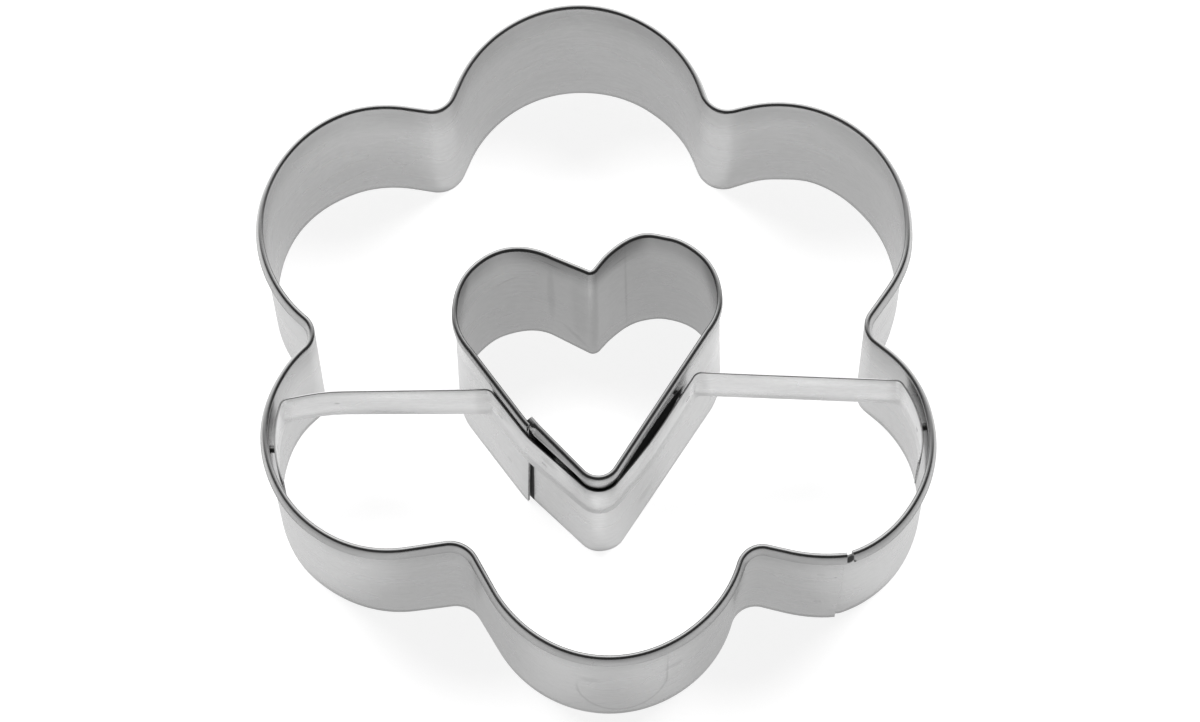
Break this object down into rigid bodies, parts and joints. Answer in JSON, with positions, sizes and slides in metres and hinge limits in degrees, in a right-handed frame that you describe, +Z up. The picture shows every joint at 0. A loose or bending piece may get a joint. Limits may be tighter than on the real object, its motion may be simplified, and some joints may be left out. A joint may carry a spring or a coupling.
{
  "type": "cookie cutter",
  "caption": "Flower-shaped cookie cutter of sheet-steel strip with a folded rim, and a heart-shaped cutter held inside it by a bent, spot-welded bridge strap.",
  "frame": {"origin": "centre of the bounding box in X and Y, on the plane of the cutting edges", "axes": "+Z up from the cutting edges to the folded rim; -Y towards the heart's point and the lap seam of the flower; +X to the right seen from above with -Y nearest"},
  "size_m": [0.0658, 0.0674, 0.0244],
  "materials": {
    "flower_sheet": "satin rolled sheet with fine scratches",
    "heart_sheet": "satin rolled sheet with forming marks",
    "strap_sheet": "satin rolled sheet",
    "weld_mark": "dull pressed spot-weld mark"
  },
  "bodies": {
    "root": {"flower_band": "flower_sheet", "heart_band": "heart_sheet", "bridge_strap": "strap_sheet", "flower_seam_weld_upper": "weld_mark", "flower_seam_weld_lower": "weld_mark", "heart_seam_weld": "weld_mark", "strap_weld_left": "weld_mark", "strap_weld_seam": "weld_mark", "strap_weld_right": "weld_mark", "left_tab_weld": "weld_mark", "right_tab_weld": "weld_mark"}
  },
  "joints": []
}
